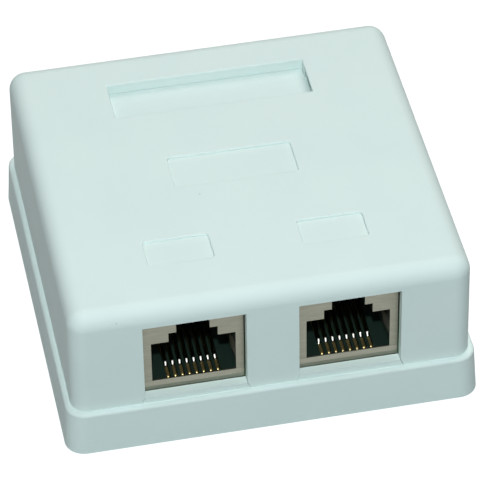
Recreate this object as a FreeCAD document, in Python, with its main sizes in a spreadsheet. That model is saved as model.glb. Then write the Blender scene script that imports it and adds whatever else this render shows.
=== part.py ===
"""Two-port surface mount jack box, shielded, as a parametric FreeCAD document.

A shallow base is screwed to the wall and holds a circuit board with two
shielded 8-position sockets at the front and a wire terminal block behind each.
A cover shell stands on the base, held by one screw that a label plate hides.

Units are millimetres. The origin is the middle of the base's back face, the
face that lies on the wall. +Z points away from the wall, the sockets face -Y.
"""

import FreeCAD, Part
import math
import os

import Sketcher

os.makedirs("parts", exist_ok=True)

doc = FreeCAD.newDocument("surface_mount_jack_box")
dims = doc.addObject("Spreadsheet::Sheet", "dims")

# Driving dimensions: alias, value in mm (angles in degrees), meaning.
DRIVING = [
    ("base_width", 60.1, "outer width of the base's foot, along X"),
    ("base_depth", 59.7, "outer depth of the base's foot, along Y"),
    ("base_height", 7.05, "height of the base's rim"),
    ("base_flare", 0.4, "how far the base's foot stands out beyond its rim"),
    ("base_floor", 2.0, "thickness of the base's floor"),
    ("base_wall", 2.2, "thickness of the base's outer wall"),
    ("base_corner", 2.9, "plan radius of the base's corners"),
    ("rim_round", 0.45, "round on the rim's outer edge"),
    ("rim_ledge", 0.8, "how far the base stands proud of the cover"),
    ("cover_wall", 1.35, "thickness of the cover's side walls"),
    ("cover_roof", 1.8, "thickness of the cover's roof"),
    ("cover_round", 2.5, "round between the cover's roof and sides"),
    ("cover_corner", 2.5, "plan radius of the cover's corners"),
    ("draft_angle", 0.4, "draft of the cover's outer sides"),
    ("fit_gap", 0.15, "play between the cover and the base's locating tabs"),
    ("port_spacing", 22.2, "distance between the two sockets' centres"),
    ("window_play", 0.06, "gap between a socket's side and its window"),
    ("window_top_lap", 0.25, "how far the cover hides the top of a socket"),
    ("notch_flare", 0.5, "widening of a window's open foot, each side"),
    ("notch_flare_height", 1.1, "height over which the foot widens"),
    ("sill_rise", 1.0, "height of the sill in a window above the rim"),
    ("sill_gap", 0.08, "play between a sill and its window"),
    ("jack_gap", 0.15, "play between a socket's face and the cover"),
    ("jack_headroom", 1.15, "space between a socket's top and the roof"),
    ("cavity_width", 12.04, "width of the plug cavity"),
    ("cavity_floor", 1.75, "height of the cavity's floor above the board"),
    ("cavity_height", 7.05, "height of the cavity's main part"),
    ("step_width", 7.0, "width of the cavity's upper step"),
    ("step_height", 1.6, "height of the upper step"),
    ("latch_width", 4.75, "width of the latch slot"),
    ("latch_height", 1.7, "height of the latch slot above the step"),
    ("jack_top", 1.35, "material above the latch slot"),
    ("jack_side", 1.27, "material beside the cavity"),
    ("cavity_depth", 12.35, "depth of the plug cavity"),
    ("jack_rear", 3.85, "material behind the cavity"),
    ("shield_sheet", 0.25, "thickness of the shield's sheet metal"),
    ("shield_bend", 0.45, "outer bend radius of the shield"),
    ("shield_gap", 0.05, "play between the shield and the housing"),
    ("finger_height", 2.4, "height of a side spring finger"),
    ("finger_rise", 2.35, "height of a finger's foot above the cavity floor"),
    ("finger_bulge", 0.3, "how far a finger stands into the cavity"),
    ("finger_length", 5.5, "length of a side spring finger"),
    ("leg_width", 1.6, "width of a shield leg"),
    ("leg_place", 8.0, "distance of the shield legs behind the face"),
    ("solder_reach", 1.0, "how far legs and tails stand out below the board"),
    ("solder_gap", 0.15, "play round legs and tails in the board"),
    ("contact_pitch", 1.02, "spacing of the contact springs"),
    ("contact_width", 0.46, "width of a contact strip"),
    ("contact_sheet", 0.3, "thickness of a contact strip"),
    ("contact_gap", 0.1, "play beside a contact in its groove"),
    ("contact_run", 0.45, "height of a contact's lower run above the board"),
    ("contact_front", 0.75, "distance of the contact's nose behind the face"),
    ("contact_nose_rise", 1.25, "height of the run that returns from the nose"),
    ("contact_bend", 0.35, "centre line radius of the two nose bends"),
    ("contact_knee_back", 3.0, "distance behind the face where the strip kicks up"),
    ("contact_knee_rise", 1.3, "height of the strip where it kicks up"),
    ("contact_kick_run", 0.45, "length of the kick along Y"),
    ("contact_kick_rise", 0.5, "height of the kick"),
    ("contact_knee", 0.3, "centre line radius of the bends at the kick"),
    ("contact_tip_rise", 4.1, "height of the contact's free end"),
    ("contact_tip_back", 11.9, "distance of the free end behind the face"),
    ("tail_setback", 1.1, "distance of the first tail row behind the cavity"),
    ("tail_row_gap", 1.78, "distance between the two tail rows"),
    ("tail_bend", 0.5, "centre line radius of the bend above a tail"),
    ("comb_length", 1.35, "length of the comb that guides the free ends"),
    ("comb_height", 2.7, "height of the comb above the cavity floor"),
    ("carrier_height", 5.1, "height of the contact carrier"),
    ("board_thickness", 1.6, "thickness of the circuit board"),
    ("board_side_gap", 2.45, "distance from the board to the base's side walls"),
    ("board_front_gap", 0.1, "set back of the board from the socket's face"),
    ("board_rear_margin", 1.5, "board behind the terminal blocks"),
    ("board_corner", 1.0, "plan radius of the board's corners"),
    ("post_height", 4.4, "height of the board supports above the floor"),
    ("post_radius", 2.0, "radius of the two middle supports"),
    ("rib_thickness", 1.2, "thickness of the side support ribs"),
    ("rib_lap", 1.2, "how far a side rib reaches under the board"),
    ("hook_thickness", 1.0, "thickness of a board hook"),
    ("hook_width", 4.0, "width of a board hook"),
    ("hook_nose", 0.7, "how far a hook's nose reaches over the board"),
    ("hook_nose_height", 1.5, "height of the nose above its catch"),
    ("hook_gap", 0.12, "play between a hook and the board"),
    ("block_gap", 2.0, "space between a socket and its terminal block"),
    ("block_width", 16.8, "width of a terminal block"),
    ("block_depth", 11.0, "depth of a terminal block"),
    ("block_height", 12.0, "height of a terminal block"),
    ("clip_pitch", 3.9, "spacing of the terminal clips in a row"),
    ("clip_row", 3.3, "distance of a clip row from the block's middle"),
    ("clip_width", 2.4, "width of a terminal clip"),
    ("clip_sheet", 0.45, "thickness of a terminal clip"),
    ("clip_foot", 3.2, "height of a clip's foot above the board"),
    ("clip_top_drop", 1.4, "distance of a clip's top below the block's top"),
    ("clip_slit", 0.32, "width of the slit that grips a wire"),
    ("clip_slit_depth", 5.2, "depth of the slit"),
    ("clip_leg", 0.7, "width of a clip's solder leg"),
    ("clip_gap", 0.1, "play round a clip in its block"),
    ("wire_slot", 1.0, "width of a wire slot"),
    ("wire_slot_depth", 6.6, "depth of a wire slot"),
    ("wire_mouth", 2.3, "width of a wire slot's mouth"),
    ("wire_mouth_depth", 1.5, "depth of a wire slot's mouth"),
    ("spine", 2.8, "wall between the two rows of wire slots"),
    ("label_width", 29.6, "width of the label recess"),
    ("label_depth", 7.65, "depth of the label recess along Y"),
    ("label_sink", 1.7, "how far the label plate lies below the roof"),
    ("label_setback", 11.3, "label recess middle to the cover's rear face"),
    ("label_thickness", 1.0, "thickness of the label plate"),
    ("label_gap", 0.08, "play round the label plate"),
    ("lever_length", 5.4, "length of the slot for levering the plate out"),
    ("lever_reach", 0.75, "how far the lever slot reaches under the roof"),
    ("lever_skin", 0.3, "roof left above the lever slot"),
    ("recess_round", 0.2, "round on the upper edges of the roof's recesses"),
    ("well_wall", 1.2, "wall of the well under the label recess"),
    ("mark_width", 18.1, "width of the shallow middle recess"),
    ("mark_depth", 6.7, "depth of the middle recess along Y"),
    ("mark_place", 0.3, "middle recess in front of the cover's middle"),
    ("icon_width", 9.4, "width of a port recess"),
    ("icon_depth", 5.15, "depth of a port recess along Y"),
    ("icon_setback", 11.8, "port recess middle to the cover's front face"),
    ("recess_sink", 0.35, "depth of the shallow recesses"),
    ("recess_corner", 0.5, "corner radius of the shallow recesses"),
    ("screw_radius", 1.5, "radius of the cover screw's shank"),
    ("screw_length", 10.0, "length of the cover screw's shank"),
    ("screw_head_radius", 2.7, "radius of the cover screw's head"),
    ("screw_head_height", 1.9, "height of the cover screw's head"),
    ("screw_gap", 0.06, "play round the shank in its boss"),
    ("screw_pass", 0.3, "play round the head and the shank in the cover"),
    ("screw_seat", 3.0, "cover material below the screw's head"),
    ("boss_height", 9.0, "height of the screw boss above the floor"),
    ("boss_wall", 1.7, "wall of the screw boss"),
    ("tube_wall", 1.2, "wall of the cover's screw tube"),
    ("slot_width", 4.2, "width of a wall fixing slot"),
    ("slot_length", 7.0, "length of a wall fixing slot"),
    ("slot_inset", 9.05, "wall fixing slot's middle to the base's side"),
    ("slot_back", 3.5, "wall fixing slots behind the screw boss"),
    ("entry_depth", 11.0, "cable entry along Y"),
    ("entry_margin", 1.8, "floor between a cable entry and its neighbours"),
    ("entry_corner", 1.5, "corner radius of a cable entry"),
    ("tie_length", 7.0, "length of a cable tie bridge"),
    ("tie_width", 3.0, "width of a cable tie bridge"),
    ("tie_height", 3.0, "height of a cable tie bridge"),
    ("tie_tunnel", 3.4, "length of the tunnel under a tie bridge"),
    ("tie_tunnel_height", 1.4, "height of the tunnel"),
    ("tab_thickness", 1.2, "thickness of a locating tab"),
    ("tab_width", 9.0, "width of a locating tab"),
    ("tab_rise", 3.5, "height of a locating tab above the rim"),
    ("tab_bevel", 0.5, "lead-in bevel on a locating tab"),
    ("breakout_width", 12.0, "width of the rear breakout panel"),
    ("breakout_height", 8.0, "height of the rear breakout panel"),
    ("breakout_skin", 0.6, "thickness left in the breakout's score line"),
    ("breakout_score", 0.8, "width of the score line"),
    ("hold_down_gap", 0.2, "play between a hold-down rib and a socket"),
    ("hold_down_rib", 1.0, "thickness of a hold-down rib"),
]

for row, (alias, value, meaning) in enumerate(DRIVING, start=1):
    dims.set(f"A{row}", meaning)
    dims.set(f"B{row}", str(value))
    dims.setAlias(f"B{row}", alias)
doc.recompute()

# Places worked out from the driving dimensions, as expressions over the sheet.
RIM_X = "(dims.base_width / 2 - dims.base_flare)"
RIM_Y = "(dims.base_depth / 2 - dims.base_flare)"
COVER_X = f"({RIM_X} - dims.rim_ledge)"
COVER_Y = f"({RIM_Y} - dims.rim_ledge)"
INSIDE_X = f"({COVER_X} - dims.cover_wall)"
INSIDE_Y = f"({COVER_Y} - dims.cover_wall)"
TRAY_X = f"({RIM_X} - dims.base_wall)"
TRAY_Y = f"({RIM_Y} - dims.base_wall)"
BOARD_UNDER = "(dims.base_floor + dims.post_height)"
BOARD_TOP = f"({BOARD_UNDER} + dims.board_thickness)"
JACK_FACE = f"(-{INSIDE_Y} + dims.jack_gap)"
JACK_WIDTH = "(dims.cavity_width + 2 * dims.jack_side)"
JACK_DEPTH = "(dims.cavity_depth + dims.jack_rear)"
CAVITY_TOP = "(dims.cavity_floor + dims.cavity_height)"
STEP_TOP = f"({CAVITY_TOP} + dims.step_height)"
LATCH_TOP = f"({STEP_TOP} + dims.latch_height)"
JACK_HEIGHT = f"({LATCH_TOP} + dims.jack_top)"
SHELL = "(dims.shield_sheet + dims.shield_gap)"
ROOF_UNDER = f"({BOARD_TOP} + {JACK_HEIGHT} + dims.jack_headroom)"
COVER_TOP = f"({ROOF_UNDER} + dims.cover_roof)"
BLOCK_Y = f"({JACK_FACE} + {JACK_DEPTH} + dims.block_gap + dims.block_depth / 2)"
BOARD_X = f"({TRAY_X} - dims.board_side_gap)"
BOARD_FRONT = f"({JACK_FACE} + dims.board_front_gap)"
BOARD_REAR = f"({BLOCK_Y} + dims.block_depth / 2 + dims.board_rear_margin)"
LABEL_Y = f"({COVER_Y} - dims.label_setback)"
LABEL_FLOOR = f"({COVER_TOP} - dims.label_sink - dims.label_thickness)"
BOSS_TOP = "(dims.base_floor + dims.boss_height)"
SEAT = f"({BOSS_TOP} + dims.screw_seat)"
BOSS_RADIUS = "(dims.screw_radius + dims.screw_gap + dims.boss_wall)"
SINK_RADIUS = "(dims.screw_head_radius + dims.screw_pass)"
SLOT_X = "(dims.base_width / 2 - dims.slot_inset)"
TAIL_Y = "(dims.cavity_depth + dims.tail_setback)"

CONTACTS = 8
CLIPS_PER_ROW = 4
SIDES = {"left": -1, "right": 1}
# Shares of the board's length at which ribs carry it and hooks hold it.
RIB_SHARES = (0.12, 0.5, 0.9)
HOOK_SHARES = (0.22, 0.4)


def number(expression):
    """Value of an expression over the sheet."""
    return float(dims.evalExpression(expression))


def new_body(name):
    body = doc.addObject("PartDesign::Body", name)
    body.Label = name
    return body


def sketch_on(body, name, role, offset="0"):
    """Sketch on one of the body's origin planes, moved along its normal."""
    sketch = body.newObject("Sketcher::SketchObject", f"{body.Name}_{name}")
    plane = next(item for item in body.Origin.OriginFeatures if item.Role == role)
    sketch.AttachmentSupport = [(plane, "")]
    sketch.MapMode = "FlatFace"
    sketch.setExpression("AttachmentOffset.Base.z", offset)
    return sketch


def pin(sketch, kind, geometry, point, expression):
    """Hold a point's X or Y distance from the sketch's origin."""
    value = number(expression)
    if abs(value) < 1e-9:
        axis = -2 if kind == "DistanceX" else -1
        sketch.addConstraint(Sketcher.Constraint("PointOnObject", geometry, point, axis))
        return
    index = sketch.addConstraint(Sketcher.Constraint(kind, -1, 1, geometry, point, value))
    sketch.setExpression(f"Constraints[{index}]", expression)


def outline(sketch, corners):
    """Closed outline through corners, each a pair of expressions."""
    first = sketch.GeometryCount
    count = len(corners)
    places = [FreeCAD.Vector(number(x), number(y), 0) for x, y in corners]
    for step in range(count):
        sketch.addGeometry(Part.LineSegment(places[step], places[(step + 1) % count]))
    for step in range(count):
        following = first + (step + 1) % count
        sketch.addConstraint(Sketcher.Constraint("Coincident", first + step, 2, following, 1))
    for step, (x, y) in enumerate(corners):
        pin(sketch, "DistanceX", first + step, 1, x)
        pin(sketch, "DistanceY", first + step, 1, y)


def rectangle(sketch, left, right, low, high):
    outline(sketch, [(left, low), (right, low), (right, high), (left, high)])


def centred(sketch, x, y, width, depth):
    """Rectangle about a middle point."""
    rectangle(
        sketch,
        f"{x} - {width} / 2",
        f"{x} + {width} / 2",
        f"{y} - {depth} / 2",
        f"{y} + {depth} / 2",
    )


def circle(sketch, x, y, radius):
    centre = FreeCAD.Vector(number(x), number(y), 0)
    normal = FreeCAD.Vector(0, 0, 1)
    index = sketch.addGeometry(Part.Circle(centre, normal, number(radius)))
    ring = sketch.addConstraint(Sketcher.Constraint("Radius", index, number(radius)))
    sketch.setExpression(f"Constraints[{ring}]", radius)
    pin(sketch, "DistanceX", index, 3, x)
    pin(sketch, "DistanceY", index, 3, y)


def pad(body, sketch, length, taper=None, both=False):
    feature = body.newObject("PartDesign::Pad", f"{sketch.Name}_pad")
    feature.Profile = sketch
    feature.setExpression("Length", length)
    if taper:
        feature.setExpression("TaperAngle", taper)
    if both:
        feature.SideType = "Symmetric"
    doc.recompute()
    return feature


def pocket(body, sketch, length, along_normal=False):
    """Cut against the sketch's normal, or along it, and check that it cut."""
    before = body.Shape.Volume
    feature = body.newObject("PartDesign::Pocket", f"{sketch.Name}_pocket")
    feature.Profile = sketch
    feature.setExpression("Length", length)
    feature.Reversed = along_normal
    doc.recompute()
    if not body.Shape.Volume < before:
        raise RuntimeError(f"{feature.Name} removed nothing")
    return feature


def edges_where(shape, wanted):
    """Names of the edges whose middle point and direction suit."""
    names = []
    for index, edge in enumerate(shape.Edges, start=1):
        if edge.Degenerated:
            continue
        middle = 0.5 * (edge.FirstParameter + edge.LastParameter)
        if wanted(edge.valueAt(middle), edge.tangentAt(middle), edge):
            names.append(f"Edge{index}")
    return names


def dress(body, kind, name, size, wanted):
    """Fillet or Chamfer on the edges of the body's last feature that suit."""
    base = body.Tip
    names = edges_where(base.Shape, wanted)
    if not names:
        raise RuntimeError(f"{body.Name} {name}: no edge found")
    feature = body.newObject(f"PartDesign::{kind}", f"{body.Name}_{name}")
    feature.Base = (base, names)
    feature.setExpression("Radius" if kind == "Fillet" else "Size", size)
    doc.recompute()
    return feature


def upright(direction):
    return abs(direction.z) > 0.99


def near(value, target, reach=0.02):
    return abs(value - target) < reach


def place(body, x="0", y="0", z="0"):
    """Bind the body's own position to the sheet."""
    body.setExpression("Placement.Base.x", x)
    body.setExpression("Placement.Base.y", y)
    body.setExpression("Placement.Base.z", z)


def port_x(side):
    return f"({side} * dims.port_spacing / 2)"


def make_base():
    """Wall plate: floor, rim, sills, board supports, hooks, tabs and boss."""
    body = new_body("base")
    slab = sketch_on(body, "slab", "XY_Plane")
    centred(slab, "0", "0", "dims.base_width", "dims.base_depth")
    pad(body, slab, "dims.base_height", taper="-atan(dims.base_flare / dims.base_height)")
    dress(body, "Fillet", "corners", "dims.base_corner", lambda p, d, e: upright(d))
    top = number("dims.base_height")
    dress(body, "Fillet", "rim", "dims.rim_round", lambda p, d, e: near(p.z, top) and not upright(d))

    tray = sketch_on(body, "tray", "XY_Plane", "dims.base_height")
    centred(tray, "0", "0", f"2 * {TRAY_X}", f"2 * {TRAY_Y}")
    pocket(body, tray, "dims.base_height - dims.base_floor")
    inner_x = number(TRAY_X)
    dress(
        body,
        "Fillet",
        "tray_corners",
        "dims.base_corner - dims.base_wall",
        lambda p, d, e: upright(d) and near(abs(p.x), inner_x),
    )

    add_sills(body)
    add_tabs(body)
    add_board_supports(body)
    add_hooks(body)
    add_boss(body)
    add_cable_ties(body)
    cut_floor_openings(body)
    return body


def add_sills(body):
    """Low sills that close the open feet of the cover's windows."""
    half = f"({JACK_WIDTH} / 2 + dims.window_play - dims.sill_gap)"
    flared = f"({half} + dims.notch_flare)"
    narrowing = "dims.notch_flare * dims.sill_rise / dims.notch_flare_height"
    foot = "(dims.base_height - dims.base_wall / 2)"
    crest = "(dims.base_height + dims.sill_rise)"
    sills = sketch_on(body, "sills", "XZ_Plane", TRAY_Y)
    for side in SIDES.values():
        x = port_x(side)
        outline(sills, [
            (f"{x} - {flared}", foot),
            (f"{x} + {flared}", foot),
            (f"{x} + {flared}", "dims.base_height"),
            (f"{x} + {flared} - {narrowing}", crest),
            (f"{x} - {flared} + {narrowing}", crest),
            (f"{x} - {flared}", "dims.base_height"),
        ])
    pad(body, sills, "dims.base_wall - dims.rim_ledge")


def add_tabs(body):
    """Upright tabs inside the cover's side and rear walls."""
    tabs = sketch_on(body, "tabs", "XY_Plane", "dims.base_floor")
    outer_x = f"({INSIDE_X} - dims.fit_gap)"
    outer_y = f"({INSIDE_Y} - dims.fit_gap)"
    inner_x = f"({outer_x} - dims.tab_thickness)"
    inner_y = f"({outer_y} - dims.tab_thickness)"
    for side in SIDES.values():
        for along in (-1, 1):
            y = f"({along} * dims.base_depth / 5)"
            low = f"{y} - dims.tab_width / 2"
            high = f"{y} + dims.tab_width / 2"
            rectangle(tabs, f"{side} * {inner_x}", f"{side} * {outer_x}", low, high)
        x = f"({side} * dims.base_width / 4)"
        left = f"{x} - dims.tab_width / 2"
        right = f"{x} + dims.tab_width / 2"
        rectangle(tabs, left, right, inner_y, outer_y)
    pad(body, tabs, "dims.base_height - dims.base_floor + dims.tab_rise")
    crest = number("dims.base_height + dims.tab_rise")
    x_out = number(outer_x)
    y_out = number(outer_y)
    dress(
        body,
        "Chamfer",
        "tab_bevels",
        "dims.tab_bevel",
        lambda p, d, e: near(p.z, crest) and (near(abs(p.x), x_out) or near(p.y, y_out)),
    )


def add_board_supports(body):
    """Two middle posts and six side ribs that carry the circuit board."""
    supports = sketch_on(body, "supports", "XY_Plane", "dims.base_floor / 2")
    circle(supports, "0", f"({BOARD_FRONT} + 2 * dims.post_radius)", "dims.post_radius")
    circle(supports, "0", f"({BOARD_REAR} - dims.post_radius)", "dims.post_radius")
    rib_in = f"({BOARD_X} - dims.rib_lap)"
    rib_out = f"({TRAY_X} + dims.base_wall / 2)"
    for side in SIDES.values():
        for y in rib_places():
            low = f"{y} - dims.rib_thickness / 2"
            high = f"{y} + dims.rib_thickness / 2"
            rectangle(supports, f"{side} * {rib_in}", f"{side} * {rib_out}", low, high)
    pad(body, supports, "dims.base_floor / 2 + dims.post_height")


def board_length():
    return f"({BOARD_REAR} - {BOARD_FRONT})"


def rib_places():
    """Y of the side ribs, spread along the board."""
    return [f"({BOARD_FRONT} + {share} * {board_length()})" for share in RIB_SHARES]


def hook_places():
    """Y of the board hooks, beside the sockets and between the ribs."""
    return [f"({BOARD_FRONT} + {share} * {board_length()})" for share in HOOK_SHARES]


def add_hooks(body):
    """Sprung hooks that snap over the board's side edges."""
    inner = f"({BOARD_X} + dims.hook_gap)"
    outer = f"({inner} + dims.hook_thickness)"
    nose = f"({BOARD_X} - dims.hook_nose)"
    catch = f"({BOARD_TOP} + dims.hook_gap)"
    crest = f"({catch} + dims.hook_nose_height)"
    for number_of_hook, y in enumerate(hook_places(), start=1):
        hooks = sketch_on(body, f"hooks_{number_of_hook}", "XZ_Plane", f"-{y} - dims.hook_width / 2")
        for side in SIDES.values():
            outline(hooks, [
                (f"{side} * {inner}", "dims.base_floor / 2"),
                (f"{side} * {outer}", "dims.base_floor / 2"),
                (f"{side} * {outer}", crest),
                (f"{side} * {inner}", crest),
                (f"{side} * {nose}", f"{catch} + dims.hook_nose_height / 4"),
                (f"{side} * {nose}", catch),
                (f"{side} * {inner}", catch),
            ])
        pad(body, hooks, "dims.hook_width")


def add_boss(body):
    """Boss for the cover screw, stiffened by four gussets."""
    boss = sketch_on(body, "boss", "XY_Plane", "dims.base_floor / 2")
    circle(boss, "0", LABEL_Y, BOSS_RADIUS)
    pad(body, boss, "dims.base_floor / 2 + dims.boss_height")
    gussets = sketch_on(body, "gussets", "XY_Plane", "dims.base_floor / 2")
    reach = f"2 * ({BOSS_RADIUS} + dims.entry_margin / 2)"
    centred(gussets, "0", LABEL_Y, reach, "dims.rib_thickness")
    pad(body, gussets, "dims.base_floor / 2 + dims.boss_height / 2")
    braces = sketch_on(body, "braces", "XY_Plane", "dims.base_floor / 2")
    centred(braces, "0", LABEL_Y, "dims.rib_thickness", reach)
    pad(body, braces, "dims.base_floor / 2 + dims.boss_height / 2")
    bore = sketch_on(body, "boss_bore", "XY_Plane", BOSS_TOP)
    circle(bore, "0", LABEL_Y, "dims.screw_radius + dims.screw_gap")
    pocket(body, bore, "dims.screw_length - dims.screw_seat + dims.screw_radius / 2")


def entry_span():
    """Inner and outer X of the right cable entry."""
    inner = f"({BOSS_RADIUS} + dims.entry_margin)"
    outer = f"({SLOT_X} - dims.slot_length / 2 - dims.entry_margin)"
    return inner, outer


def add_cable_ties(body):
    """Bridge in front of each cable entry for a cable tie."""
    inner, outer = entry_span()
    middle = f"(({inner} + {outer}) / 2)"
    rear = f"({LABEL_Y} - dims.entry_depth / 2 - dims.entry_margin / 2)"
    front = f"({rear} - dims.tie_length)"
    foot = "(dims.tie_length - dims.tie_tunnel) / 2"
    low = "dims.base_floor / 2"
    roof = "(dims.base_floor + dims.tie_tunnel_height)"
    crest = "(dims.base_floor + dims.tie_height)"
    for name, side in SIDES.items():
        offset = f"{side} * {middle} - dims.tie_width / 2"
        bridge = sketch_on(body, f"tie_bridge_{name}", "YZ_Plane", offset)
        outline(bridge, [
            (front, low),
            (f"{front} + {foot}", low),
            (f"{front} + {foot}", roof),
            (f"{rear} - {foot}", roof),
            (f"{rear} - {foot}", low),
            (rear, low),
            (rear, crest),
            (front, crest),
        ])
        pad(body, bridge, "dims.tie_width")


def cut_floor_openings(body):
    """Cable entries and wall fixing slots through the floor."""
    inner, outer = entry_span()
    entries = sketch_on(body, "cable_entries", "XY_Plane", "dims.base_floor")
    low = f"({LABEL_Y} - dims.entry_depth / 2)"
    high = f"({LABEL_Y} + dims.entry_depth / 2)"
    for side in SIDES.values():
        rectangle(entries, f"{side} * {inner}", f"{side} * {outer}", low, high)
    pocket(body, entries, "2 * dims.base_floor")
    x_ends = (number(inner), number(outer))
    y_ends = (number(low), number(high))
    mid_floor = number("dims.base_floor / 2")
    dress(
        body,
        "Fillet",
        "entry_corners",
        "dims.entry_corner",
        lambda p, d, e: upright(d)
        and near(p.z, mid_floor)
        and any(near(abs(p.x), x) for x in x_ends)
        and any(near(p.y, y) for y in y_ends),
    )
    slots = sketch_on(body, "fixing_slots", "XY_Plane", "dims.base_floor")
    y = f"({LABEL_Y} + dims.slot_back)"
    for side in SIDES.values():
        x = f"({side} * {SLOT_X})"
        centred(slots, x, y, "(dims.slot_length - dims.slot_width)", "dims.slot_width")
    pocket(body, slots, "2 * dims.base_floor")
    for end in (-1, 1):
        ends = sketch_on(body, f"fixing_slot_ends_{end + 1}", "XY_Plane", "dims.base_floor")
        for side in SIDES.values():
            x = f"({side} * {SLOT_X} + {end} * (dims.slot_length - dims.slot_width) / 2)"
            circle(ends, x, y, "dims.slot_width / 2")
        pocket(body, ends, "2 * dims.base_floor")


def make_cover():
    """Cover shell with two windows, recesses, label well and screw tube."""
    body = new_body("cover")
    block = sketch_on(body, "block", "XY_Plane", "dims.base_height")
    centred(block, "0", "0", f"2 * {COVER_X}", f"2 * {COVER_Y}")
    pad(body, block, f"{COVER_TOP} - dims.base_height", taper="-dims.draft_angle")
    top = number(COVER_TOP)
    round_off(
        body,
        "outer",
        ("dims.cover_corner", lambda p, d, e: upright(d)),
        ("dims.cover_round", lambda p, d, e: near(p.z, top)),
    )

    hollow = sketch_on(body, "hollow", "XY_Plane", "dims.base_height")
    centred(hollow, "0", "0", f"2 * {INSIDE_X}", f"2 * {INSIDE_Y}")
    pocket(body, hollow, f"{ROOF_UNDER} - dims.base_height", along_normal=True)
    inside_x = number(INSIDE_X)
    under = number(ROOF_UNDER)
    round_off(
        body,
        "inner",
        (
            "dims.cover_corner - dims.cover_wall",
            lambda p, d, e: upright(d) and near(abs(p.x), inside_x),
        ),
        ("dims.cover_round - dims.cover_wall", lambda p, d, e: near(p.z, under)),
    )
    add_label_well(body)
    add_hold_downs(body)
    cut_windows(body)
    cut_label_recess(body)
    cut_lever_slot(body)
    cut_shallow_recesses(body)
    score_breakout(body)
    return body


def round_off(body, name, corners, rim):
    """Round a block's upright edges and its rim, the larger radius first."""
    dressings = [("corners", *corners), ("round", *rim)]
    dressings.sort(key=lambda item: number(item[1]), reverse=True)
    for part_name, size, wanted in dressings:
        dress(body, "Fillet", f"{name}_{part_name}", size, wanted)


def add_label_well(body):
    """Thickened roof under the label and the tube that holds the screw."""
    depth = "(dims.label_sink + dims.label_thickness + dims.well_wall - dims.cover_roof)"
    well = sketch_on(body, "well", "XY_Plane", f"{ROOF_UNDER} - {depth}")
    width = "(dims.label_width + 2 * dims.well_wall)"
    length = "(dims.label_depth + 2 * dims.well_wall)"
    centred(well, "0", LABEL_Y, width, length)
    pad(body, well, f"{depth} + dims.cover_roof / 2")
    tube = sketch_on(body, "tube", "XY_Plane", BOSS_TOP)
    circle(tube, "0", LABEL_Y, f"({SINK_RADIUS} + dims.tube_wall)")
    pad(body, tube, f"{LABEL_FLOOR} - dims.well_wall / 2 - {BOSS_TOP}")


def add_hold_downs(body):
    """Ribs under the roof that keep the sockets down on the board."""
    ribs = sketch_on(body, "hold_downs", "XY_Plane", f"{BOARD_TOP} + {JACK_HEIGHT} + dims.hold_down_gap")
    low = f"({JACK_FACE} + {JACK_DEPTH} / 2)"
    high = f"({JACK_FACE} + {JACK_DEPTH})"
    for side in SIDES.values():
        for offset in (-1, 1):
            x = f"({port_x(side)} + {offset} * {JACK_WIDTH} / 4)"
            left = f"{x} - dims.hold_down_rib / 2"
            right = f"{x} + dims.hold_down_rib / 2"
            rectangle(ribs, left, right, low, high)
    pad(body, ribs, "dims.jack_headroom - dims.hold_down_gap + dims.cover_roof / 2")


def cut_windows(body):
    """Two notches in the front wall, open below, with flared feet."""
    windows = sketch_on(body, "windows", "XZ_Plane", f"{COVER_Y} + dims.rim_ledge")
    half = f"({JACK_WIDTH} / 2 + dims.window_play)"
    flared = f"({half} + dims.notch_flare)"
    foot = "(dims.base_height - dims.notch_flare)"
    shoulder = "(dims.base_height + dims.notch_flare_height)"
    crest = f"({BOARD_TOP} + {JACK_HEIGHT} - dims.window_top_lap)"
    for side in SIDES.values():
        x = port_x(side)
        outline(windows, [
            (f"{x} - {flared}", foot),
            (f"{x} + {flared}", foot),
            (f"{x} + {flared}", "dims.base_height"),
            (f"{x} + {half}", shoulder),
            (f"{x} + {half}", crest),
            (f"{x} - {half}", crest),
            (f"{x} - {half}", shoulder),
            (f"{x} - {flared}", "dims.base_height"),
        ])
    pocket(body, windows, "dims.rim_ledge + 2 * dims.cover_wall")


def cut_label_recess(body):
    """Recess for the label plate, screw sink and shank hole."""
    recess = sketch_on(body, "label_recess", "XY_Plane", COVER_TOP)
    centred(recess, "0", LABEL_Y, "dims.label_width", "dims.label_depth")
    pocket(body, recess, f"{COVER_TOP} - {LABEL_FLOOR}")
    sink = sketch_on(body, "screw_sink", "XY_Plane", LABEL_FLOOR)
    circle(sink, "0", LABEL_Y, SINK_RADIUS)
    pocket(body, sink, f"{LABEL_FLOOR} - {SEAT}")
    hole = sketch_on(body, "shank_hole", "XY_Plane", SEAT)
    circle(hole, "0", LABEL_Y, "dims.screw_radius + dims.screw_pass")
    pocket(body, hole, "2 * dims.screw_seat")


def cut_lever_slot(body):
    """Slot under the roof at the recess's right end, down to its floor."""
    slot = sketch_on(body, "lever_slot", "XY_Plane", f"{COVER_TOP} - dims.lever_skin")
    left = "dims.label_width / 2"
    right = "dims.label_width / 2 + dims.lever_reach"
    low = f"{LABEL_Y} - dims.lever_length / 2"
    high = f"{LABEL_Y} + dims.lever_length / 2"
    rectangle(slot, left, right, low, high)
    pocket(body, slot, "dims.label_sink + dims.label_thickness - dims.lever_skin")


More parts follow.
